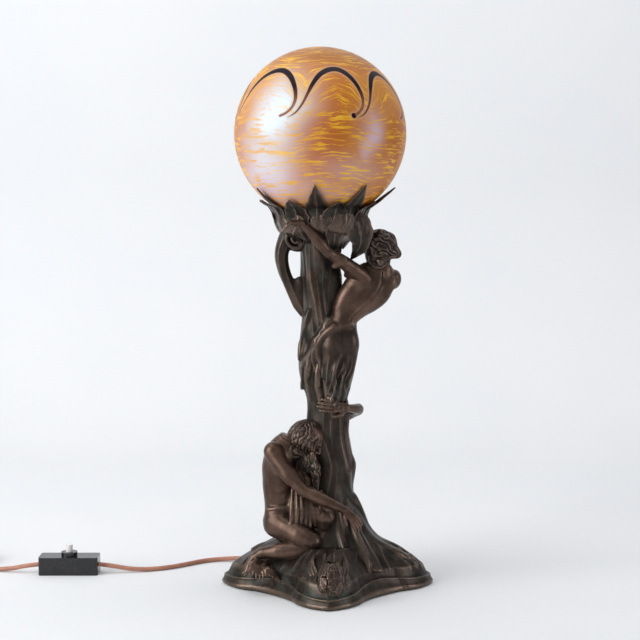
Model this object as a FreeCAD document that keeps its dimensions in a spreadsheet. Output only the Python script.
import FreeCAD, Part
import Sketcher
import math
import os
from FreeCAD import Placement, Vector

# A bronze figural table lamp with a glass globe. Millimetres, +Z up, the front is -Y.
# The origin is the middle of the base, on the surface that the lamp stands on.

os.makedirs("parts", exist_ok=True)
doc = FreeCAD.newDocument("figural_table_lamp")

SIZES = [
    # base
    ("base_reach", 115.0, "centre of the base to each corner"),
    ("base_side", 80.5, "centre of the base to the middle of each side"),
    ("felt_thickness", 1.5, "felt under the base"),
    ("felt_inset", 3.0, "felt edge behind the rim"),
    ("rim_height", 12.0, "upright rim of the base"),
    ("bead_width", 3.0, "step behind the rim's top edge"),
    ("mound_rise", 36.5, "root mound above the rim"),
    ("mound_top_reach", 57.0, "top of the mound, towards the corners"),
    ("mound_top_side", 48.0, "top of the mound, towards the sides"),
    ("base_wall", 5.0, "wall of the hollow base"),
    ("plate_thickness", 1.5, "steel plate under the base"),
    ("plate_clearance", 0.5, "gap round the steel plate"),
    ("plate_boss_reach", 84.0, "centre of the base to each plate screw"),
    ("plate_boss_diameter", 12.0, "boss for a plate screw"),
    ("plate_screw_diameter", 4.0, "plate screw shank"),
    ("plate_screw_head", 7.5, "plate screw head"),
    ("plate_screw_length", 10.0, "plate screw under its head"),
    # trunk
    ("trunk_height", 322.0, "tree trunk from the mound to the crown"),
    ("trunk_root_radius", 36.0, "trunk just above the roots"),
    ("trunk_waist_radius", 21.5, "trunk at its thinnest, by the old man's hand"),
    ("trunk_hip_radius", 23.5, "trunk behind the woman's legs"),
    ("trunk_neck_radius", 18.5, "trunk under the crown"),
    ("trunk_wall", 5.0, "wall of the hollow lower trunk"),
    ("column_offset", -8.0, "tube, crown and globe to the side of the base's centre"),
    # crown and globe
    ("cup_foot_radius", 22.0, "crown where it stands on the trunk"),
    ("cup_stem", 20.0, "crown's foot up to its floor"),
    ("cup_floor_radius", 34.0, "floor of the crown's bowl"),
    ("cup_girth", 44.0, "radius of the crown's bulge under its rim"),
    ("seat_ledge", 12.0, "floor of the bowl up to the ring's ledge"),
    ("cup_wall", 3.0, "wall of the bowl at its rim"),
    ("leaf_gap", 1.4, "gap between the glass and the leaves"),
    ("leaf_thickness", 2.5, "thickness of a crown leaf"),
    ("tall_leaf_width", 22.0, "tall crown leaf"),
    ("tall_leaf_rise", 30.0, "tall crown leaf above its middle"),
    ("low_leaf_width", 38.0, "low crown leaf"),
    ("low_leaf_rise", 13.0, "low crown leaf above its middle"),
    ("leaf_foot", 11.0, "crown leaf below its middle"),
    ("leaf_count", 7, "tall leaves, with as many low ones between"),
    ("spray_radius", 19.0, "swell of the leaves that hang under the crown"),
    ("seat_ring_radius", 46.5, "outside of the felt seat ring"),
    ("seat_ring_bore", 39.5, "inside of the felt seat ring"),
    ("seat_ring_thickness", 3.0, "height of the felt seat ring"),
    ("seat_gap", 0.25, "glass rim above its ring"),
    ("globe_diameter", 183.0, "glass globe"),
    ("globe_wall", 3.0, "thickness of the glass"),
    ("globe_opening", 92.0, "hole in the bottom of the globe"),
    # tube and fasteners
    ("tube_diameter", 10.0, "threaded tube"),
    ("tube_bore", 7.0, "bore of the threaded tube"),
    ("tube_clearance", 0.3, "on the diameter of each hole for the tube"),
    ("nut_across", 17.0, "hexagon nut, flat to flat"),
    ("nut_height", 4.0, "hexagon nut"),
    ("washer_diameter", 30.0, "washer under the base nut"),
    ("washer_thickness", 2.0, "washer under the base nut"),
    ("tube_tail", 5.0, "tube below the base nut"),
    # lampholder and bulb
    ("holder_diameter", 38.0, "lampholder"),
    ("holder_wall", 1.0, "lampholder metal"),
    ("holder_cap_height", 16.0, "lampholder cap"),
    ("holder_shell_height", 30.0, "lampholder shell"),
    ("core_clearance", 0.3, "porcelain core inside its shell"),
    ("core_floor", 6.0, "porcelain under the screw shell"),
    ("screw_shell_bore", 26.6, "bore of the screw shell"),
    ("screw_shell_wall", 0.5, "metal of the screw shell"),
    ("bulb_cap_diameter", 26.4, "screw cap of the bulb"),
    ("bulb_cap_height", 20.0, "screw cap of the bulb"),
    ("bulb_contact_height", 2.0, "centre contact under the bulb's cap"),
    ("bulb_contact_radius", 4.5, "centre contact under the bulb's cap"),
    ("contact_gap", 0.2, "bulb contact above the holder's contact"),
    ("bulb_diameter", 45.0, "bulb glass"),
    ("bulb_neck_length", 12.0, "bulb glass between its cap and its ball"),
    # cord
    ("cord_diameter", 5.0, "mains cord"),
    ("cord_lift", 0.1, "cord's underside above the floor"),
    ("cord_exit_height", 7.5, "middle of the cord where it leaves the base"),
    ("cord_bend_radius", 20.0, "bend of the cord under the tube"),
    ("bush_diameter", 9.0, "rubber bush in the rim"),
    ("bush_flange", 12.0, "flange of the rubber bush"),
    ("bush_tail", 22.0, "tapered strain relief outside the rim"),
    ("bush_clearance", 0.2, "on the diameter of the bush's holes"),
    ("coil_diameter", 60.0, "coil of put-away cord, at the middle of its turns"),
    ("coil_gap", 0.6, "between neighbouring turns of the coil"),
    ("coil_turns", 7, "turns of the coil, in two layers"),
    ("coil_tail", 14.0, "straight end of the coil, to the plug"),
    # switch
    ("switch_length", 66.0, "in-line switch"),
    ("switch_width", 25.0, "in-line switch"),
    ("switch_height", 20.0, "in-line switch"),
    ("switch_wall", 2.0, "switch shells"),
    ("switch_corner", 3.0, "rounding of the switch's upright edges"),
    ("collar_diameter", 18.0, "collar round the push button"),
    ("collar_height", 4.5, "collar round the push button"),
    ("button_diameter", 8.0, "push button"),
    ("button_height", 8.0, "push button above its collar"),
    ("button_flange", 11.0, "flange that keeps the button in"),
    ("button_clearance", 0.2, "on the diameter of the button's bore"),
    ("spring_diameter", 6.0, "button spring, at the middle of its wire"),
    ("spring_wire", 0.7, "wire of the button spring"),
    ("spring_turns", 4, "turns of the button spring"),
    ("switch_screw_diameter", 3.0, "switch screw"),
    ("switch_screw_head", 5.0, "switch screw head"),
    ("switch_screw_inset", 9.0, "switch screw from the end of the switch"),
    # plug
    ("plug_length", 34.0, "plug body"),
    ("plug_width", 30.0, "plug body"),
    ("plug_height", 14.0, "plug body"),
    ("plug_relief", 20.0, "tapered strain relief of the plug"),
    ("pin_diameter", 4.0, "plug pin"),
    ("pin_length", 19.0, "plug pin"),
    ("pin_spacing", 18.6, "between the plug pins"),
]

sheet = doc.addObject("Spreadsheet::Sheet", "sizes")
for row, (alias, value, meaning) in enumerate(SIZES, 1):
    sheet.set("A%d" % row, meaning)
    sheet.set("B%d" % row, str(value))
    sheet.setAlias("B%d" % row, alias)
doc.recompute()


def size(formula):
    """A value of the sheet, or a formula of its values, as a plain number."""
    result = sheet.evalExpression(formula)
    return float(getattr(result, "Value", result))


# Levels and places that several pieces share, as formulas of the sheet's values.
FELT_TOP = "sizes.felt_thickness"
RIM_TOP = "(sizes.felt_thickness + sizes.rim_height)"
MOUND_TOP = "(%s + sizes.mound_rise)" % RIM_TOP
BASE_CEILING = "(%s - sizes.base_wall - 1)" % MOUND_TOP
TRUNK_TOP = "(%s + sizes.trunk_height)" % MOUND_TOP
CUP_FLOOR = "(%s + sizes.cup_stem)" % TRUNK_TOP
LEDGE = "(%s + sizes.seat_ledge)" % CUP_FLOOR
RING_TOP = "(%s + sizes.seat_ring_thickness)" % LEDGE
GLASS_RIM = "(%s + sizes.seat_gap)" % RING_TOP
GLOBE_CENTRE = "(%s + sqrt((sizes.globe_diameter / 2)^2 - (sizes.globe_opening / 2)^2))" % GLASS_RIM
CAP_BOTTOM = "(%s + sizes.nut_height)" % CUP_FLOOR
TUBE_TOP = "(%s + sizes.holder_wall + sizes.nut_height)" % CAP_BOTTOM
SHELL_BOTTOM = "(%s + sizes.holder_cap_height)" % CAP_BOTTOM
CORE_TOP = "(%s + sizes.holder_shell_height)" % SHELL_BOTTOM
CORE_BOTTOM = "(%s - sizes.core_floor)" % SHELL_BOTTOM
CONTACT_TOP = "(%s + 1)" % SHELL_BOTTOM
BULB_CONTACT = "(%s + sizes.contact_gap)" % CONTACT_TOP
BULB_CAP = "(%s + sizes.bulb_contact_height)" % BULB_CONTACT
BULB_GLASS = "(%s + sizes.bulb_cap_height)" % BULB_CAP
TUBE_HOLE = "(sizes.tube_diameter + sizes.tube_clearance)"
CORD_LEVEL = "(sizes.cord_diameter / 2 + sizes.cord_lift)"
SWITCH_AXIS = "(sizes.switch_height / 2)"
BUTTON_TOP = "(sizes.switch_height + sizes.collar_height + sizes.button_height)"

COLUMN = Vector(size("sizes.column_offset"), 0, 0)
UP = Vector(0, 0, 1)
parts = {}


# ---------------------------------------------------------------- shared helpers

def node(name, thing):
    thing.Label = name
    parts[name] = thing
    return thing


def carve(name, shape):
    """A sculpted piece: its shape is worked out here from the sheet's values."""
    feature = doc.addObject("Part::Feature", name)
    feature.Shape = shape
    feature.Placement = Placement()
    return node(name, feature)


def bind(thing, **formulas):
    """Bind properties to formulas: x, y and z mean the placement's base."""
    for prop, formula in formulas.items():
        path = "Placement.Base." + prop if prop in ("x", "y", "z") else prop
        thing.setExpression(path, str(formula))
    return thing


def cylinder(name, diameter, height, z, x="sizes.column_offset", y="0"):
    thing = doc.addObject("Part::Cylinder", name)
    return bind(thing, Radius="(%s) / 2" % diameter, Height=height, x=x, y=y, z=z)


def sphere(name, diameter, z, x="sizes.column_offset", y="0"):
    thing = doc.addObject("Part::Sphere", name)
    return bind(thing, Radius="(%s) / 2" % diameter, x=x, y=y, z=z)


def box(name, length, width, height, x, y, z):
    """A box centred on x and y, standing on z."""
    thing = doc.addObject("Part::Box", name)
    return bind(thing, Length=length, Width=width, Height=height,
                x="%s - (%s) / 2" % (x, length), y="%s - (%s) / 2" % (y, width), z=z)


def cut(name, base, *tools):
    """The base less each tool in turn."""
    result = base
    for count, tool in enumerate(tools):
        step = doc.addObject("Part::Cut", "%s_cut_%d" % (name, count))
        step.Base = result
        step.Tool = tool
        result = step
    return result


def fuse(name, *pieces):
    result = doc.addObject("Part::MultiFuse", name + "_fuse")
    result.Shapes = list(pieces)
    return result


def group(name, *pieces):
    """Separate solids that share one node."""
    result = doc.addObject("Part::Compound", name + "_group")
    result.Links = list(pieces)
    return result


def hexagon(name, across, height, z):
    thing = doc.addObject("Part::Prism", name)
    thing.Polygon = 6
    return bind(thing, Circumradius="(%s) / sqrt(3)" % across, Height=height,
                x="sizes.column_offset", z=z)


def lobed_wire(middle, reach, side, z):
    """The ogee-sided outline with four corners: a circle where reach and side are equal."""
    waist = side + (reach - side) * 0.23
    shoulder = side + (reach - side) * 0.80

    def at(radius, angle):
        turn = math.radians(angle)
        return Vector(middle.x + radius * math.cos(turn), middle.y + radius * math.sin(turn), z)

    edges = []
    for corner in (0, 90, 180, 270):
        for first, second, third in (((reach, 0), (shoulder, 9.4), (waist, 25)),
                                     ((waist, 25), (side, 45), (waist, 65)),
                                     ((waist, 65), (shoulder, 80.6), (reach, 90))):
            points = [at(radius, corner + angle) for radius, angle in (first, second, third)]
            edges.append(Part.Arc(*points).toShape())
    return Part.Wire(edges)


def slab(wire, height):
    return Part.Face(wire).extrude(Vector(0, 0, height))


def limb(points):
    """Round bones with a ball at each joint: points are (x, y, z, radius)."""
    pieces = []
    for x, y, z, radius in points:
        pieces.append(Part.makeSphere(radius * 1.03, Vector(x, y, z)))
    for start, end in zip(points, points[1:]):
        base, tip = Vector(*start[:3]), Vector(*end[:3])
        length = (tip - base).Length
        if abs(start[3] - end[3]) < 0.05:
            pieces.append(Part.makeCylinder(start[3], length, base, tip - base))
        else:
            pieces.append(Part.makeCone(start[3], end[3], length, base, tip - base))
    return pieces


def torso(sections, across):
    """A lofted body through ovals: sections are (x, y, z, half width, half depth)."""
    wires = []
    centres = [Vector(*section[:3]) for section in sections]
    for index, section in enumerate(sections):
        before = centres[max(index - 1, 0)]
        after = centres[min(index + 1, len(centres) - 1)]
        spine = (after - before).normalize()
        side = (across - spine * across.dot(spine)).normalize()
        depth = spine.cross(side)
        centre = centres[index]
        oval = Part.Ellipse(centre + side * section[3], centre + depth * section[4], centre)
        wires.append(Part.Wire([oval.toShape()]))
    return Part.makeLoft(wires, True, False)


def leaf(centre, radius, thickness, outward, upward, below, above, half_width):
    """A pointed leaf cut from a round shell: flat foot, curved sides, one tip."""
    outward.normalize()
    upward = (upward - outward * upward.dot(outward)).normalize()
    side = outward.cross(upward)
    flat = centre + outward * (radius * 0.3)
    foot, tip = -below, above
    bulge = foot + (tip - foot) * 0.34
    left = [flat + upward * foot - side * (half_width * 0.72), flat + upward * bulge - side * half_width,
            flat + upward * tip]
    right = [flat + upward * foot + side * (half_width * 0.72), flat + upward * bulge + side * half_width,
             flat + upward * tip]
    edges = [Part.Arc(*left).toShape(), Part.Arc(*reversed(right)).toShape(),
             Part.LineSegment(right[0], left[0]).toShape()]
    prism = Part.Face(Part.Wire(edges)).extrude(outward * radius)
    shell = Part.makeSphere(radius + thickness, centre).cut(Part.makeSphere(radius, centre))
    return shell.common(prism)


def moved(points, by):
    return [(x + by.x, y + by.y, z + by.z) + tuple(rest) for x, y, z, *rest in points]


def joined(pieces, *away):
    """One solid from overlapping pieces, less the pieces that it sits against."""
    solid = pieces[0].multiFuse(pieces[1:])
    for other in away:
        solid = solid.cut(other)
    solids = sorted(solid.Solids, key=lambda item: item.Volume)
    return solids[-1]


def rounded_route(points):
    """Straight runs joined by the largest arcs that they allow; prints the arcs' radii."""
    share = 0.45
    edges, radii = [], []
    last = points[0]
    for before, here, after in zip(points, points[1:], points[2:]):
        back, ahead = (before - here), (after - here)
        reach = share * min(back.Length, ahead.Length)
        start, end = here + back.normalize() * reach, here + ahead.normalize() * reach
        half_turn = (math.pi - back.getAngle(ahead)) / 2
        radius = reach / math.tan(half_turn)
        middle = (start + end) * 0.5
        inside = here - middle
        height = inside.Length
        sagitta = radius * (1 - math.cos(half_turn))
        edges.append(Part.LineSegment(last, start).toShape())
        edges.append(Part.Arc(start, middle + inside * (sagitta / height), end).toShape())
        radii.append(round(radius, 1))
        last = end
    edges.append(Part.LineSegment(last, points[-1]).toShape())
    print("  arc radii:", radii)
    return Part.Wire(edges)


def tube_along(name, wire, diameter):
    """A round tube swept along a wire; prints its volume against section times length."""
    first = wire.Edges[0]
    start = first.valueAt(first.FirstParameter)
    direction = first.tangentAt(first.FirstParameter)
    profile = Part.Wire([Part.makeCircle(diameter / 2, start, direction)])
    solid = wire.makePipeShell([profile], True, False)
    expected = math.pi * diameter ** 2 / 4 * wire.Length
    print("  %s: length %.0f mm, volume ratio %.4f" % (name, wire.Length, solid.Volume / expected))
    return solid


def biarc(start, start_way, end, end_way):
    """Two arcs from one point and direction to another, tangent to both and to each other."""
    chord = end - start
    ways = start_way + end_way
    square = 2 * (start_way.dot(end_way) - 1)
    slope = chord.dot(ways)
    reach = (slope - math.sqrt(slope ** 2 - square * chord.dot(chord))) / square
    first, second = start + start_way * reach, end - end_way * reach
    joint = (first + second) * 0.5
    arcs = []
    for near, corner, far in ((start, first, joint), (joint, second, end)):
        middle = (near + far) * 0.5
        lean = (far - near).Length / (2 * reach)
        arcs.append(Part.Arc(near, middle + (corner - middle) * (lean / (1 + lean)), far).toShape())
    return arcs


def wound_wire(place, quarters, lead, tail):
    """A wire through place(turns), in quarter turns, with a straight end at each side."""
    def way(turns):
        step = 1e-4
        return (place(turns + step) - place(turns - step)).normalize()

    stations = [index / 4 for index in range(quarters + 1)]
    edges = []
    for before, after in zip(stations, stations[1:]):
        edges += biarc(place(before), way(before), place(after), way(after))
    start, end = place(stations[0]), place(stations[-1])
    first = Part.LineSegment(start - way(stations[0]) * lead, start).toShape()
    last = Part.LineSegment(end, end + way(stations[-1]) * tail).toShape()
    return Part.Wire([first] + edges + [last])


def least_gap(name, wire, diameter, pitch_length):
    """Print the least gap between the surfaces of a wound tube's own turns."""
    points = wire.discretize(Distance=diameter * 0.8)
    apart = int(pitch_length * 0.5 / (diameter * 0.8))
    least = min((points[i] - points[j]).Length
                for i in range(len(points)) for j in range(i + apart, len(points)))
    print("  %s: least gap between turns %.2f mm" % (name, least - diameter))


# ---------------------------------------------------------------- bronze castings

def make_base():
    reach, side = size("sizes.base_reach"), size("sizes.base_side")
    bead, wall = size("sizes.bead_width"), size("sizes.base_wall")
    bottom, rim, top = size(FELT_TOP), size(RIM_TOP), size(MOUND_TOP)
    rise = top - rim
    top_reach, top_side = size("sizes.mound_top_reach"), size("sizes.mound_top_side")
    centre = Vector(0, 0, 0)
    # Shares of the rise, and of the way in from the rim to the top, towards corners and sides.
    profile = ((0.0, 0.0, 0.0), (0.28, 0.12, 0.26), (0.60, 0.50, 0.58), (1.0, 1.0, 1.0))

    def mound(inset, lift):
        wires = []
        for height, corner_in, side_in in profile:
            corner = reach - bead - inset + (top_reach - reach + bead) * corner_in
            flank = side - bead - inset + (top_side - side + bead) * side_in
            wires.append(lobed_wire(centre, corner, flank, rim + (rise - lift) * height))
        return Part.makeLoft(wires, True, False)

    plinth = slab(lobed_wire(centre, reach, side, bottom), rim - bottom)
    body = plinth.fuse(mound(0, 0))
    pocket = slab(lobed_wire(centre, reach - wall, side - wall, bottom), rim - bottom + 0.5)
    ceiling = top - size(BASE_CEILING)
    body = body.cut(pocket.fuse(mound(wall, ceiling)))
    boss_reach, boss = size("sizes.plate_boss_reach"), size("sizes.plate_boss_diameter") / 2
    plate_top = bottom + size("sizes.plate_thickness")
    outer = plinth.fuse(mound(0, 0))
    for turn in range(4):
        spot = Vector(boss_reach * math.cos(turn * math.pi / 2), boss_reach * math.sin(turn * math.pi / 2),
                      plate_top)
        post = Part.makeCylinder(boss, rise + rim, spot).common(outer)
        hole = Part.makeCylinder(size("sizes.plate_screw_diameter") / 2 + 0.05,
                                 size("sizes.plate_screw_length") + 1, spot)
        body = body.fuse(post).cut(hole)
    body = body.cut(Part.makeCylinder(size(TUBE_HOLE) / 2, top, COLUMN))
    body = body.cut(Part.makeCylinder((size("sizes.bush_diameter") + size("sizes.bush_clearance")) / 2,
                                      wall * 5, exit_point(-wall * 3), EXIT_WAY))
    return joined([body]), outer


def exit_reach():
    """From the tube's axis to the outside of the rim, along the cord's way out."""
    return size("sizes.base_side") + COLUMN.x * math.cos(math.radians(45)) - 0.1


EXIT_WAY = Vector(-1, 1, 0).normalize()


def exit_point(outside):
    """A point on the line where the cord leaves the base, so far outside the rim."""
    return COLUMN + EXIT_WAY * (exit_reach() + outside) + Vector(0, 0, size("sizes.cord_exit_height"))


def make_trunk():
    bottom, top = size(MOUND_TOP), size(TRUNK_TOP)
    tall = top - bottom
    root, waist = size("sizes.trunk_root_radius"), size("sizes.trunk_waist_radius")
    hip, neck = size("sizes.trunk_hip_radius"), size("sizes.trunk_neck_radius")
    foot_reach, foot_side = size("sizes.mound_top_reach"), size("sizes.mound_top_side")
    lean = COLUMN.x
    # Share of the height, share of the way over to the column, and radius.
    stations = ((0.11, 0.0, root), (0.20, 0.0, (root + waist) / 2 - 1), (0.40, -0.15, waist),
                (0.50, 0.2, waist + 0.5), (0.60, 1.0, hip), (0.71, 1.1, (hip + neck) / 2),
                (0.82, 1.15, neck), (0.92, 1.1, neck), (1.0, 1.0, size("sizes.cup_foot_radius")))

    def column(inset, from_top):
        wires = [lobed_wire(Vector(0, 0, 0), foot_reach - inset, foot_side - inset, bottom)]
        for share, over, radius in stations[:from_top]:
            wires.append(lobed_wire(Vector(lean * over, 0, 0), radius - inset, radius - inset,
                                    bottom + tall * share))
        return Part.makeLoft(wires, True, False)

    outer = column(0, len(stations))
    hollow = column(size("sizes.trunk_wall"), 4)
    bore = Part.makeCylinder(size(TUBE_HOLE) / 2, tall + 2, COLUMN + Vector(0, 0, bottom - 1))
    return joined([outer.cut(hollow).cut(bore)]), outer


def make_crown(*away):
    """The bowl that holds the globe, with its leaves and the sprays under it, cast in one."""
    foot, floor, ledge = size(TRUNK_TOP), size(CUP_FLOOR), size(LEDGE)
    rim = size(RING_TOP)
    centre = COLUMN + Vector(0, 0, size(GLOBE_CENTRE))
    inside_leaves = size("sizes.globe_diameter") / 2 + size("sizes.leaf_gap")
    ring = size("sizes.seat_ring_radius") + 0.8
    outer_rim = ring + size("sizes.cup_wall")
    hole, foot_radius = size(TUBE_HOLE) / 2, size("sizes.cup_foot_radius")
    floor_radius, girth = size("sizes.cup_floor_radius"), size("sizes.cup_girth")
    ledge_bore = size("sizes.seat_ring_bore") - 1

    def at(radius, z):
        return Vector(COLUMN.x + radius, 0, z)

    corners = [at(ring, rim), at(ring, ledge), at(ledge_bore, ledge), at(floor_radius, floor),
               at(hole, floor), at(hole, foot), at(foot_radius, foot)]
    edges = [Part.LineSegment(start, end) for start, end in zip(corners, corners[1:])]
    edges += [Part.Arc(at(foot_radius, foot), at(girth * 0.86, (foot + floor) / 2), at(girth, floor)),
              Part.LineSegment(at(girth, floor), at(outer_rim, rim)),
              Part.LineSegment(at(outer_rim, rim), at(ring, rim))]
    bowl = Part.Face(Part.Wire([edge.toShape() for edge in edges]))
    pieces = [bowl.revolve(COLUMN, UP, 360)]
    count, thick = int(size("sizes.leaf_count")), size("sizes.leaf_thickness")
    first_turn, slant = math.radians(-94), math.radians(36)
    for index in range(2 * count):
        turn = first_turn + math.pi * index / count
        kind = "low" if index % 2 else "tall"
        outward = Vector(math.sin(slant) * math.cos(turn), math.sin(slant) * math.sin(turn),
                         -math.cos(slant))
        radius = inside_leaves + (0 if index % 2 else thick * 0.8)
        pieces.append(leaf(centre, radius, thick, outward, UP, size("sizes.leaf_foot"),
                           size("sizes.%s_leaf_rise" % kind), size("sizes.%s_leaf_width" % kind) / 2))
    # Leaves that hang under the bowl: way round, middle above the crown's foot, length.
    swell = size("sizes.spray_radius")
    for turn, above, length in ((-75, 12, 22), (-38, 9, 23), (0, 10, 21), (40, 12, 19), (85, 11, 20),
                                (130, 12, 19), (172, 14, 18), (-120, 14, 18)):
        way = Vector(math.cos(math.radians(turn)), math.sin(math.radians(turn)), 0)
        spot = COLUMN + way * (foot_radius - 1) + Vector(0, 0, foot + above)
        pieces.append(leaf(spot, swell, thick + 1, way + Vector(0, 0, -0.45), Vector(0, 0, -1),
                           length * 0.75, length, length * 0.62))
    groove = Part.makeCylinder(ring, 2 * size("sizes.seat_ring_thickness"), at(0, ledge))
    return joined(pieces, groove, *away)


def make_branch(*away):
    """The branch that leaves the trunk and comes back under the crown, as a loop."""
    top = COLUMN + Vector(0, 0, size(TRUNK_TOP))
    loop = [(-20, -2, -64, 7), (-32, -3, -47, 6.5), (-40, -3, -29, 6.2), (-42.5, -3, -14, 7),
            (-37, -3, 3, 8), (-29, -2, 15, 8)]
    return joined(limb(moved(loop, top)), *away)


def make_climber(*away):
    """The climbing woman: head, back, hips and legs. Places are from the top of the trunk."""
    top = COLUMN + Vector(0, 0, size(TRUNK_TOP))
    across = Vector(1, 0.15, 0)
    back = torso(moved([(69.8, -6, -27.5, 9.5, 8.5), (62.3, -7, -36, 22, 11), (53.7, -8, -46, 25.5, 13),
                        (43.6, -9, -57, 23.5, 13), (33.4, -10, -68.5, 18, 12.5), (26, -11, -80, 14, 12.5),
                        (22.2, -12, -94, 18, 15), (20.6, -13, -110, 19.5, 16), (19, -13, -126, 19.5, 15.5),
                        (17, -12, -142, 18, 14), (15, -11, -158, 15, 12.5), (15, -9, -172, 10, 9)],
                       top), across)
    head = limb(moved([(61.6, -8, -3.5, 17), (60, -8, -12, 14.5)], top))
    bun = limb(moved([(68, -7, -8, 12), (78, -5, -13, 7.5)], top))
    neck = limb(moved([(64, -7, -14, 8.5), (66.5, -6, -31, 9.5)], top))
    foot = limb(moved([(14, -22, -150, 7), (9, -26, -160, 5.5), (20, -24, -172, 4)], top))
    drape = limb(moved([(16, -20, -82, 6), (5, -23, -98, 7), (-2, -23, -118, 7.5), (1, -23, -138, 7.5),
                        (9, -21, -154, 6)], top))
    return joined([back] + head + bun + neck + foot + drape, *away)


def make_climber_arm(near, *away):
    """One arm of the climbing woman, up to the leaves."""
    top = COLUMN + Vector(0, 0, size(TRUNK_TOP))
    near_arm = [(43, -18, -36, 9.5), (22.9, -32, -19.3, 7.6), (8.2, -40, -9.5, 6.8),
                (-5.4, -46, 5.3, 6.8), (-19.4, -50, 22, 4.8), (-30.2, -51, 22.5, 5.4),
                (-37, -50, 15, 4.2), (-37.6, -48, 5.4, 3.2)]
    far_arm = [(74, 7, -38, 9), (66, 22, -24, 7.6), (57, 33, -10, 7), (47, 37, 2, 6.4),
               (38, 38, 12, 4.8), (30, 38, 18, 5)]
    return joined(limb(moved(near_arm if near else far_arm, top)), *away)


def make_kneeler(*away):
    """The kneeling old man: head, beard, back and folded legs. Places are from the mound's top."""
    top = Vector(0, 0, size(MOUND_TOP))
    across = Vector(0.35, 1, 0)
    back = torso(moved([(-45, -9, 108, 14, 12), (-49, -9, 98, 23, 16), (-50, -8, 82, 23, 19),
                        (-50, -8, 60, 20, 19), (-50, -8, 42, 21, 18), (-50, -9, 24, 22, 17)], top), across)
    head = limb(moved([(-20, -20, 114, 16.5), (-25, -21, 105, 15.5)], top))
    neck = limb(moved([(-28, -18, 104, 12), (-42, -12, 96, 14)], top))
    beard = limb(moved([(-18, -31, 98, 9), (-8, -35, 82, 11), (-2, -35, 66, 7)], top))
    near_leg = limb(moved([(-54, -20, 20, 16), (-23, -41, 7, 12.5)], top))
    near_shin = limb(moved([(-22, -41, 2, 9), (-46, -42, -3, 9.5), (-72, -38, -8, 6.5)], top))
    near_foot = limb(moved([(-71, -37, -7, 7), (-80, -36, -14, 6.5), (-86, -36, -29, 4.5)], top))
    far_leg = limb(moved([(-50, 6, 20, 15), (-3, -34, 27, 11)], top))
    far_shin = limb(moved([(-6, -34, 20, 8), (-24, 4, 2, 8)], top))
    pieces = [back] + head + neck + beard + near_leg + near_shin + near_foot
    return joined(pieces + far_leg + far_shin, *away)


def make_kneeler_arm(near, *away):
    """One arm of the old man: the near one lies across the trunk, the far one goes round it."""
    top = Vector(0, 0, size(MOUND_TOP))
    near_arm = [(-58, -27, 98, 11.5), (-43, -37, 80, 9), (-26, -46, 61, 8), (-6, -50, 53, 7.6),
                (17, -53, 42, 5.6), (26.5, -53, 31, 6), (32, -50, 15, 3.6)]
    far_arm = [(-48, 14, 98, 11), (-24, 30, 108, 9), (6, 34, 122, 8), (27, 22, 135, 8),
               (31, 2, 141, 7.5), (24, -18, 145, 6), (8, -26, 148, 5.6), (-8, -26, 149, 3.6)]
    return joined(limb(moved(near_arm if near else far_arm, top)), *away)


def make_rosebud(*away):
    """The rosebud that stands on the front corner of the base, with its stem up the roots."""
    reach, rim = size("sizes.base_reach"), size(RIM_TOP)
    foot = Vector(0, 10.0 - reach, rim)
    bud = [(2, 8, 6, 11), (2, 14, 17, 12), (3, 21, 27, 8)]
    stem = [(4, 24, 30, 5.5), (5, 40, 42, 5), (5, 58, 62, 4.5)]
    return joined(limb(moved(bud, foot)) + limb(moved(stem, foot)), *away)


base_solid, base_outer = make_base()
trunk_solid, trunk_outer = make_trunk()
crown_solid = make_crown(trunk_outer)
crown_space = crown_solid.fuse(Part.makeSphere(size("sizes.globe_diameter") / 2 + 1,
                                               COLUMN + Vector(0, 0, size(GLOBE_CENTRE))))
carve("base_plinth", base_solid)
carve("tree_trunk", trunk_solid)
carve("leaf_crown", crown_solid)
climber = make_climber(trunk_outer, crown_space)
carve("climbing_figure", climber)
branch = make_branch(trunk_outer, crown_space)
carve("branch_loop", branch)
climber_near_arm = make_climber_arm(True, trunk_outer, crown_space, climber, branch)
carve("climbing_figure_near_arm", climber_near_arm)
climber_far_arm = make_climber_arm(False, trunk_outer, crown_space, climber)
carve("climbing_figure_far_arm", climber_far_arm)
kneeler = make_kneeler(base_outer, trunk_outer)
carve("kneeling_figure", kneeler)
kneeler_near_arm = make_kneeler_arm(True, base_outer, trunk_outer, kneeler, climber)
carve("kneeling_figure_near_arm", kneeler_near_arm)
carve("kneeling_figure_far_arm", make_kneeler_arm(False, base_outer, trunk_outer, kneeler, climber))
carve("rosebud", make_rosebud(base_outer, trunk_outer, kneeler, kneeler_near_arm))


# ---------------------------------------------------------------- under the base

def make_plate():
    """The steel plate that closes the base, and the felt under it."""
    inset = size("sizes.base_wall") + size("sizes.plate_clearance")
    reach, side = size("sizes.base_reach"), size("sizes.base_side")
    bottom = size(FELT_TOP)
    plate = slab(lobed_wire(Vector(0, 0, 0), reach - inset, side - inset, bottom),
                 size("sizes.plate_thickness"))
    felt_in = size("sizes.felt_inset")
    felt = slab(lobed_wire(Vector(0, 0, 0), reach - felt_in, side - felt_in, 0), bottom)
    screws = []
    head, shank = size("sizes.plate_screw_head") / 2, size("sizes.plate_screw_diameter") / 2
    deep = size("sizes.plate_thickness")
    for turn in range(4):
        angle = turn * math.pi / 2
        spot = Vector(math.cos(angle), math.sin(angle), 0) * size("sizes.plate_boss_reach")
        spot.z = bottom
        plate = plate.cut(Part.makeCone(head + 0.1, shank + 0.1, deep, spot))
        screw = Part.makeCone(head, shank, deep, spot)
        screw = screw.fuse(Part.makeCylinder(shank, size("sizes.plate_screw_length"), spot))
        screws.append(screw.removeSplitter())
    carve("bottom_plate", plate)
    carve("bottom_plate_screws", Part.makeCompound(screws))
    carve("felt_pad", felt)


make_plate()

# ---------------------------------------------------------------- tube and fasteners

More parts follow.
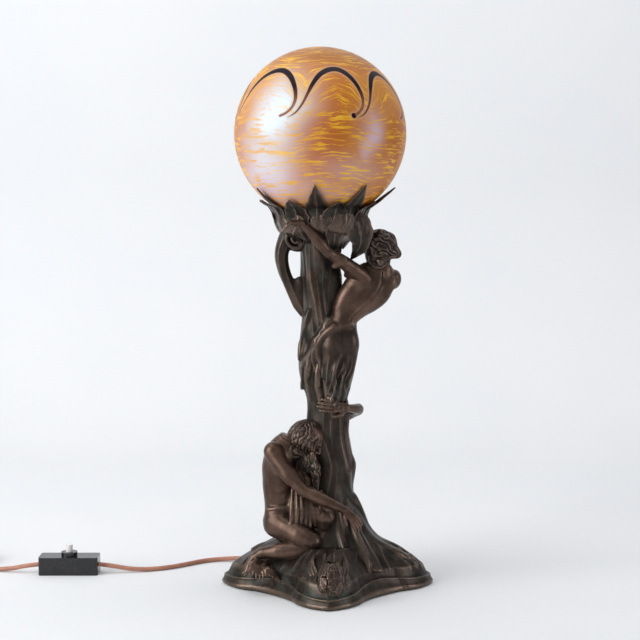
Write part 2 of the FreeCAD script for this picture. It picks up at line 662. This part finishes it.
NUT_BOTTOM = "(%s - sizes.washer_thickness - sizes.nut_height)" % BASE_CEILING
TUBE_BOTTOM = "(%s - sizes.tube_tail)" % NUT_BOTTOM
TUBE_LENGTH = "(%s - %s)" % (TUBE_TOP, TUBE_BOTTOM)
node("threaded_tube", cut("tube", cylinder("tube_rod", "sizes.tube_diameter", TUBE_LENGTH, TUBE_BOTTOM),
                          cylinder("tube_inside", "sizes.tube_bore", TUBE_LENGTH, TUBE_BOTTOM)))
WASHER_BOTTOM = "(%s - sizes.washer_thickness)" % BASE_CEILING
node("base_washer", cut("washer", cylinder("washer_disc", "sizes.washer_diameter",
                                           "sizes.washer_thickness", WASHER_BOTTOM),
                        cylinder("washer_hole", TUBE_HOLE, "sizes.washer_thickness", WASHER_BOTTOM)))
for nut_name, nut_level in (("base_nut", NUT_BOTTOM), ("crown_nut", CUP_FLOOR)):
    node(nut_name, cut(nut_name, hexagon(nut_name + "_block", "sizes.nut_across", "sizes.nut_height",
                                         nut_level),
                       cylinder(nut_name + "_thread", TUBE_HOLE, "sizes.nut_height", nut_level)))
INNER_NUT = "(%s + sizes.holder_wall)" % CAP_BOTTOM
node("holder_nut", cut("holder_nut", hexagon("holder_nut_block", "sizes.nut_across",
                                             "sizes.nut_height - 0.5", INNER_NUT),
                       cylinder("holder_nut_thread", TUBE_HOLE, "sizes.nut_height", INNER_NUT)))

# ---------------------------------------------------------------- lampholder

INSIDE = "(sizes.holder_diameter - 2 * sizes.holder_wall)"
node("holder_cap", cut("holder_cap",
                       cylinder("cap_outside", "sizes.holder_diameter", "sizes.holder_cap_height",
                                CAP_BOTTOM),
                       cylinder("cap_inside", INSIDE, "sizes.holder_cap_height",
                                CAP_BOTTOM + " + sizes.holder_wall"),
                       cylinder("cap_hole", TUBE_HOLE, "sizes.holder_cap_height", CAP_BOTTOM)))
node("holder_shell", cut("holder_shell",
                         cylinder("shell_outside", "sizes.holder_diameter",
                                  "sizes.holder_shell_height", SHELL_BOTTOM),
                         cylinder("shell_inside", INSIDE, "sizes.holder_shell_height", SHELL_BOTTOM)))
CORE_DIAMETER = "(%s - 2 * sizes.core_clearance)" % INSIDE
SCREW_OUTSIDE = "(sizes.screw_shell_bore + 2 * sizes.screw_shell_wall)"
CAVITY = "(%s + 2 * sizes.core_clearance)" % SCREW_OUTSIDE
CORE_HEIGHT = "(%s - %s)" % (CORE_TOP, CORE_BOTTOM)
CAVITY_HEIGHT = "(%s - %s)" % (CORE_TOP, SHELL_BOTTOM)
node("holder_core", cut("holder_core",
                        cylinder("core_block", CORE_DIAMETER, CORE_HEIGHT, CORE_BOTTOM),
                        cylinder("core_cavity", CAVITY, CAVITY_HEIGHT, SHELL_BOTTOM),
                        cylinder("core_wire_way", "sizes.cord_diameter + 1", CORE_HEIGHT, CORE_BOTTOM)))
node("screw_shell", cut("screw_shell",
                        cylinder("screw_outside", SCREW_OUTSIDE, CAVITY_HEIGHT + " - 2",
                                 SHELL_BOTTOM + " + 1"),
                        cylinder("screw_inside", "sizes.screw_shell_bore", CAVITY_HEIGHT,
                                 SHELL_BOTTOM)))
node("centre_contact", cut("centre_contact",
                           cylinder("contact_disc", "4 * sizes.bulb_contact_radius", "1",
                                    SHELL_BOTTOM),
                           cylinder("contact_hole", "1.5", "1", SHELL_BOTTOM)))

# ---------------------------------------------------------------- bulb and globe

node("bulb_screw_cap", cut("bulb_cap",
                           cylinder("bulb_cap_outside", "sizes.bulb_cap_diameter",
                                    "sizes.bulb_cap_height", BULB_CAP),
                           cylinder("bulb_cap_inside", "sizes.bulb_cap_diameter - 1",
                                    "sizes.bulb_cap_height - 1", BULB_CAP + " + 1")))
node("bulb_contact", cylinder("bulb_contact", "2 * sizes.bulb_contact_radius",
                              "sizes.bulb_contact_height", BULB_CONTACT))


def make_bulb_glass():
    """A round bulb with a neck, as a hollow turned shape."""
    ball, glass_wall = size("sizes.bulb_diameter") / 2, 1.0
    neck = size("sizes.bulb_cap_diameter") / 2 - 0.5
    foot = size(BULB_GLASS)
    neck_top = foot + size("sizes.bulb_neck_length")

    def turned(inset):
        radius, stem = ball - inset, neck - inset
        centre = neck_top + math.sqrt(ball ** 2 - neck ** 2) * 0.9
        meet = centre - math.sqrt(radius ** 2 - stem ** 2)
        at = [Vector(COLUMN.x, 0, foot + inset), Vector(COLUMN.x + stem, 0, foot + inset),
              Vector(COLUMN.x + stem, 0, meet), Vector(COLUMN.x + radius, 0, centre),
              Vector(COLUMN.x, 0, centre + radius)]
        edges = [Part.LineSegment(at[0], at[1]), Part.LineSegment(at[1], at[2]),
                 Part.Arc(at[2], at[3], at[4]), Part.LineSegment(at[4], at[0])]
        face = Part.Face(Part.Wire([edge.toShape() for edge in edges]))
        return face.revolve(COLUMN, UP, 360)

    return turned(0).cut(turned(glass_wall))


carve("bulb_glass", make_bulb_glass())

node("globe_seat_ring", cut("seat_ring",
                            cylinder("seat_ring_disc", "2 * sizes.seat_ring_radius",
                                     "sizes.seat_ring_thickness", LEDGE),
                            cylinder("seat_ring_hole", "2 * sizes.seat_ring_bore",
                                     "sizes.seat_ring_thickness", LEDGE)))
node("glass_globe", cut("globe",
                        sphere("globe_outside", "sizes.globe_diameter", GLOBE_CENTRE),
                        sphere("globe_inside", "sizes.globe_diameter - 2 * sizes.globe_wall",
                               GLOBE_CENTRE),
                        cylinder("globe_mouth", "2 * sizes.globe_opening", "sizes.globe_diameter / 4",
                                 GLASS_RIM + " - sizes.globe_diameter / 4")))

# ---------------------------------------------------------------- cord in the lamp

def make_bush():
    """The rubber bush in the rim, with a tapered tail that keeps the cord from kinking."""
    bore = (size("sizes.cord_diameter") + size("sizes.bush_clearance")) / 2
    stem, flange = size("sizes.bush_diameter") / 2, size("sizes.bush_flange") / 2
    tail, wall = size("sizes.bush_tail"), size("sizes.base_wall")
    inner = exit_point(-wall - 4.0)
    body = Part.makeCylinder(stem, wall + 4.0 + 1.0, inner, EXIT_WAY)
    body = body.fuse(Part.makeCylinder(flange, 2.0, exit_point(0.6), EXIT_WAY))
    body = body.fuse(Part.makeCone(stem, bore + 0.8, tail - 1.0, exit_point(1.0), EXIT_WAY))
    return body.cut(Part.makeCylinder(bore, tail + wall + 8.0, inner, EXIT_WAY)).removeSplitter()


def make_inner_cord():
    """The cord from the bush, round one bend and up the tube to the lampholder."""
    bend = size("sizes.cord_bend_radius")
    start = exit_point(size("sizes.bush_tail"))
    level = size("sizes.cord_exit_height")
    below = COLUMN + EXIT_WAY * bend + Vector(0, 0, level)
    above = COLUMN + Vector(0, 0, level + bend)
    middle = COLUMN + EXIT_WAY * bend * (1 - math.sin(math.pi / 4)) \
        + Vector(0, 0, level + bend * (1 - math.cos(math.pi / 4)))
    top = COLUMN + Vector(0, 0, size(CORE_BOTTOM) - 1)
    wire = Part.Wire([Part.LineSegment(start, below).toShape(), Part.Arc(below, middle, above).toShape(),
                      Part.LineSegment(above, top).toShape()])
    return tube_along("inner_cord", wire, size("sizes.cord_diameter"))


carve("cord_bush", make_bush())
carve("inner_cord", make_inner_cord())

# ---------------------------------------------------------------- switch

SWITCH_PLACE = Vector(-288.4, 41.0, 0)
SX, SY = str(SWITCH_PLACE.x), str(SWITCH_PLACE.y)
HALF_HEIGHT = "(sizes.switch_height / 2)"


def switch_shell(name, level, roof):
    """Half of the switch's housing: roof is the level of its closed side's inner face."""
    block = doc.addObject("PartDesign::Body", name + "_body")
    sketch = block.newObject("Sketcher::SketchObject", name + "_outline")
    plane = [item for item in block.Origin.OriginFeatures if item.Role == "XY_Plane"][0]
    sketch.AttachmentSupport = [(plane, "")]
    sketch.MapMode = "FlatFace"
    corners = [Vector(-1, -1, 0), Vector(1, -1, 0), Vector(1, 1, 0), Vector(-1, 1, 0)]
    for here, after in zip(corners, corners[1:] + corners[:1]):
        sketch.addGeometry(Part.LineSegment(here * 10, after * 10), False)
    for index in range(4):
        sketch.addConstraint(Sketcher.Constraint("Coincident", index, 2, (index + 1) % 4, 1))
        kind = "Horizontal" if index % 2 == 0 else "Vertical"
        sketch.addConstraint(Sketcher.Constraint(kind, index))
    sketch.addConstraint(Sketcher.Constraint("Symmetric", 0, 1, 2, 1, -1, 1))
    long = sketch.addConstraint(Sketcher.Constraint("DistanceX", 0, 1, 0, 2, 20.0))
    wide = sketch.addConstraint(Sketcher.Constraint("DistanceY", 1, 1, 1, 2, 20.0))
    sketch.setExpression("Constraints[%d]" % long, "sizes.switch_length")
    sketch.setExpression("Constraints[%d]" % wide, "sizes.switch_width")
    pad = block.newObject("PartDesign::Pad", name + "_pad")
    pad.Profile = sketch
    pad.setExpression("Length", HALF_HEIGHT)
    doc.recompute()
    upright = ["Edge%d" % (index + 1) for index, edge in enumerate(pad.Shape.Edges)
               if abs(edge.tangentAt(edge.FirstParameter).z) > 0.9]
    fillet = block.newObject("PartDesign::Fillet", name + "_corners")
    fillet.Base = (pad, upright)
    fillet.setExpression("Radius", "sizes.switch_corner")
    block.Tip = fillet
    bind(block, x=SX, y=SY, z=level)
    hollow = box(name + "_hollow", "sizes.switch_length - 2 * sizes.switch_wall",
                 "sizes.switch_width - 2 * sizes.switch_wall", HALF_HEIGHT + " - sizes.switch_wall",
                 SX, SY, roof)
    return block, hollow


screw_spots = ["%s %s (sizes.switch_length / 2 - sizes.switch_screw_inset)" % (SX, way)
               for way in ("-", "+")]
lower_block, lower_hollow = switch_shell("switch_lower", "0", "sizes.switch_wall")
upper_block, upper_hollow = switch_shell("switch_upper", HALF_HEIGHT, HALF_HEIGHT)
posts, post_tops, screw_solids, screw_holes = [], [], [], []
POST = "(sizes.switch_screw_diameter + 3)"
for index, spot in enumerate(screw_spots):
    posts.append(cylinder("switch_post_%d" % index, POST, HALF_HEIGHT, "0", spot, SY))
    post_tops.append(cylinder("switch_post_top_%d" % index, POST, HALF_HEIGHT, HALF_HEIGHT, spot, SY))
    shank = cylinder("switch_screw_shank_%d" % index, "sizes.switch_screw_diameter - 0.1",
                     "sizes.switch_height - sizes.switch_wall - 1", "1", spot, SY)
    head = cylinder("switch_screw_head_%d" % index, "sizes.switch_screw_head - 0.2", "2", "0.4", spot, SY)
    screw_solids.append(fuse("switch_screw_%d" % index, shank, head))
    screw_holes.append(cylinder("switch_screw_bore_%d" % index, "sizes.switch_screw_diameter",
                                "sizes.switch_height - sizes.switch_wall + 1", "-1", spot, SY))
    screw_holes.append(cylinder("switch_screw_sink_%d" % index, "sizes.switch_screw_head", "2.4", "0",
                                spot, SY))
node("switch_lower_shell", cut("switch_lower", fuse("switch_lower", cut("switch_lower_shell", lower_block,
                                                                        lower_hollow), *posts),
                               *screw_holes))
button_bore = cylinder("switch_button_bore", "sizes.button_diameter + sizes.button_clearance",
                       "sizes.switch_height", HALF_HEIGHT, SX, SY)
node("switch_upper_shell", cut("switch_upper",
                               fuse("switch_upper", cut("switch_upper_shell", upper_block, upper_hollow),
                                    *post_tops), button_bore, *screw_holes))
node("switch_screws", group("switch_screws", *screw_solids))
node("switch_collar", cut("switch_collar",
                          cylinder("collar_block", "sizes.collar_diameter", "sizes.collar_height",
                                   "sizes.switch_height", SX, SY),
                          cylinder("collar_bore", "sizes.button_diameter + sizes.button_clearance",
                                   "sizes.collar_height", "sizes.switch_height", SX, SY)))
FLANGE_TOP = "(sizes.switch_height - sizes.switch_wall - 0.3)"
FLANGE_HEIGHT = "1.5"
node("switch_button", fuse("switch_button",
                           cylinder("button_stem", "sizes.button_diameter",
                                    "%s - %s" % (BUTTON_TOP, FLANGE_TOP), FLANGE_TOP, SX, SY),
                           cylinder("button_flange", "sizes.button_flange", FLANGE_HEIGHT,
                                    "%s - %s" % (FLANGE_TOP, FLANGE_HEIGHT), SX, SY)))
CARRIER_TOP = "(sizes.switch_wall + 2)"
node("switch_carrier", box("switch_carrier", "24", "sizes.switch_width - 2 * sizes.switch_wall - 1",
                           "2", SX, SY, "sizes.switch_wall"))
node("switch_contacts", group("switch_contacts",
                              *[box("contact_strip_%d" % index, "7", "4", "3", "%s %s 8" % (SX, way), SY,
                                    CARRIER_TOP) for index, way in enumerate("-+")]))


def make_spring():
    """The spring under the button, wound between the carrier and the button's flange."""
    wire, turns = size("sizes.spring_wire"), size("sizes.spring_turns")
    radius = size("sizes.spring_diameter") / 2
    low = size(CARRIER_TOP) + wire / 2 + 0.1
    high = size(FLANGE_TOP) - float(FLANGE_HEIGHT) - wire / 2 - 0.1

    def place(count):
        angle = 2 * math.pi * count
        return SWITCH_PLACE + Vector(radius * math.cos(angle), radius * math.sin(angle),
                                     low + (high - low) * count / turns)

    path = wound_wire(place, int(turns * 4), 0.2, 0.2)
    least_gap("switch_spring", path, wire, 2 * math.pi * radius)
    return tube_along("switch_spring", path, wire)


carve("switch_spring", make_spring())

# ---------------------------------------------------------------- free cord and plug

def make_cords():
    """The cord to the switch, the cord on to the coil, and the coil itself."""
    cord, level = size("sizes.cord_diameter"), size(CORD_LEVEL)
    half, axis = size("sizes.switch_length") / 2, size(SWITCH_AXIS)
    exit_at = exit_point(size("sizes.bush_tail"))
    route = [exit_at, Vector(-90.5, 84.0, 6.0), Vector(-107.0, 92.0, 4.0), Vector(-125.0, 93.5, level),
             Vector(-143.0, 85.5, level), Vector(-160.0, 70.5, level), Vector(-179.0, 55.5, level),
             Vector(-201.0, 46.5, level), Vector(-223.0, 43.0, 4.2), Vector(-240.0, 41.2, 8.2),
             SWITCH_PLACE + Vector(half, 0, axis)]
    carve("lamp_cord", tube_along("lamp_cord", rounded_route(route), cord))
    pitch = cord + size("sizes.coil_gap")
    turns, middle = size("sizes.coil_turns"), size("sizes.coil_diameter") / 2
    outer = middle + pitch * turns / 4
    coil_x = SWITCH_PLACE.x - half - 103.6
    centre = Vector(coil_x, SWITCH_PLACE.y + 6.0 + outer, 0)

    def place(count):
        angle = -math.pi / 2 - 2 * math.pi * count
        inward = min(count, turns - count)
        climb = min(max(2 * (count - turns / 2) + 0.5, 0.0), 1.0)
        radius = outer - pitch * inward
        height = level + pitch * climb * climb * (3 - 2 * climb)
        return centre + Vector(radius * math.cos(angle), radius * math.sin(angle), height)

    path = wound_wire(place, int(turns * 4), cord, size("sizes.coil_tail"))
    least_gap("cord_coil", path, cord, 2 * math.pi * outer)
    carve("cord_coil", tube_along("cord_coil", path, cord))
    first, last = path.Edges[0], path.Edges[-1]
    coil_start = first.valueAt(first.FirstParameter)
    coil_end = last.valueAt(last.LastParameter)
    supply = [SWITCH_PLACE + Vector(-half, 0, axis), Vector(-337.0, 41.8, 8.2), Vector(-353.0, 44.2, 4.2),
              Vector(-371.0, 47.2, level), Vector(-396.0, 48.2, level), coil_start]
    carve("supply_cord", tube_along("supply_cord", rounded_route(supply), cord))
    way = last.tangentAt(last.LastParameter)
    return coil_end, Vector(way.x, way.y, 0).normalize()


coil_end, plug_way = make_cords()


def make_plug():
    """A flat two-pin plug lying beside the coil, with its strain relief and pins."""
    cord = size("sizes.cord_diameter")
    relief, long = size("sizes.plug_relief"), size("sizes.plug_length")
    high, wide = size("sizes.plug_height"), size("sizes.plug_width")
    nose = coil_end + plug_way * relief
    sleeve = Part.makeCone(cord / 2 + 0.8, cord / 2 + 2.2, relief, coil_end, plug_way)
    carve("plug_strain_relief", sleeve)
    side = UP.cross(plug_way)

    def face(at, width, height):
        points = [at + side * (u * width / 2) + UP * (v * height / 2)
                  for u, v in ((-1, -1), (1, -1), (1, 1), (-1, 1))]
        return Part.Wire([Part.LineSegment(a, b).toShape()
                          for a, b in zip(points, points[1:] + points[:1])])

    low = max(nose.z - high / 2, 0.05)
    lift = Vector(0, 0, low + high / 2 - nose.z)
    small = face(nose, wide * 0.45, min(high, 2 * (nose.z - 0.05)) * 0.9)
    broad = face(nose + plug_way * long * 0.45 + lift, wide, high)
    front = face(nose + plug_way * long + lift, wide, high)
    body = Part.makeLoft([small, broad, front], True, True)
    body = body.makeFillet(1.6, body.Edges)
    carve("plug_body", body)
    tip = nose + plug_way * long + lift
    pins = []
    for way in (-1, 1):
        root = tip + side * (way * size("sizes.pin_spacing") / 2)
        radius = size("sizes.pin_diameter") / 2
        pin = Part.makeCylinder(radius, size("sizes.pin_length") - radius, root, plug_way)
        pins.append(pin.fuse(Part.makeSphere(radius, root + plug_way * (size("sizes.pin_length") - radius))))
    carve("plug_pins", Part.makeCompound([pin.removeSplitter() for pin in pins]))


make_plug()

# ---------------------------------------------------------------- check and write

doc.recompute()
for thing in doc.Objects:
    if "Invalid" in thing.State or "Error" in thing.State:
        raise RuntimeError("%s is in state %s" % (thing.Name, thing.State))
for name, thing in parts.items():
    shape = thing.Shape
    if shape.isNull() or not shape.isValid():
        raise RuntimeError("%s has no valid shape" % name)
    print("%-26s solids %d  faces %3d  volume %9.0f" % (name, len(shape.Solids), len(shape.Faces),
                                                      shape.Volume))
    shape.exportStep("parts/%s.step" % name)
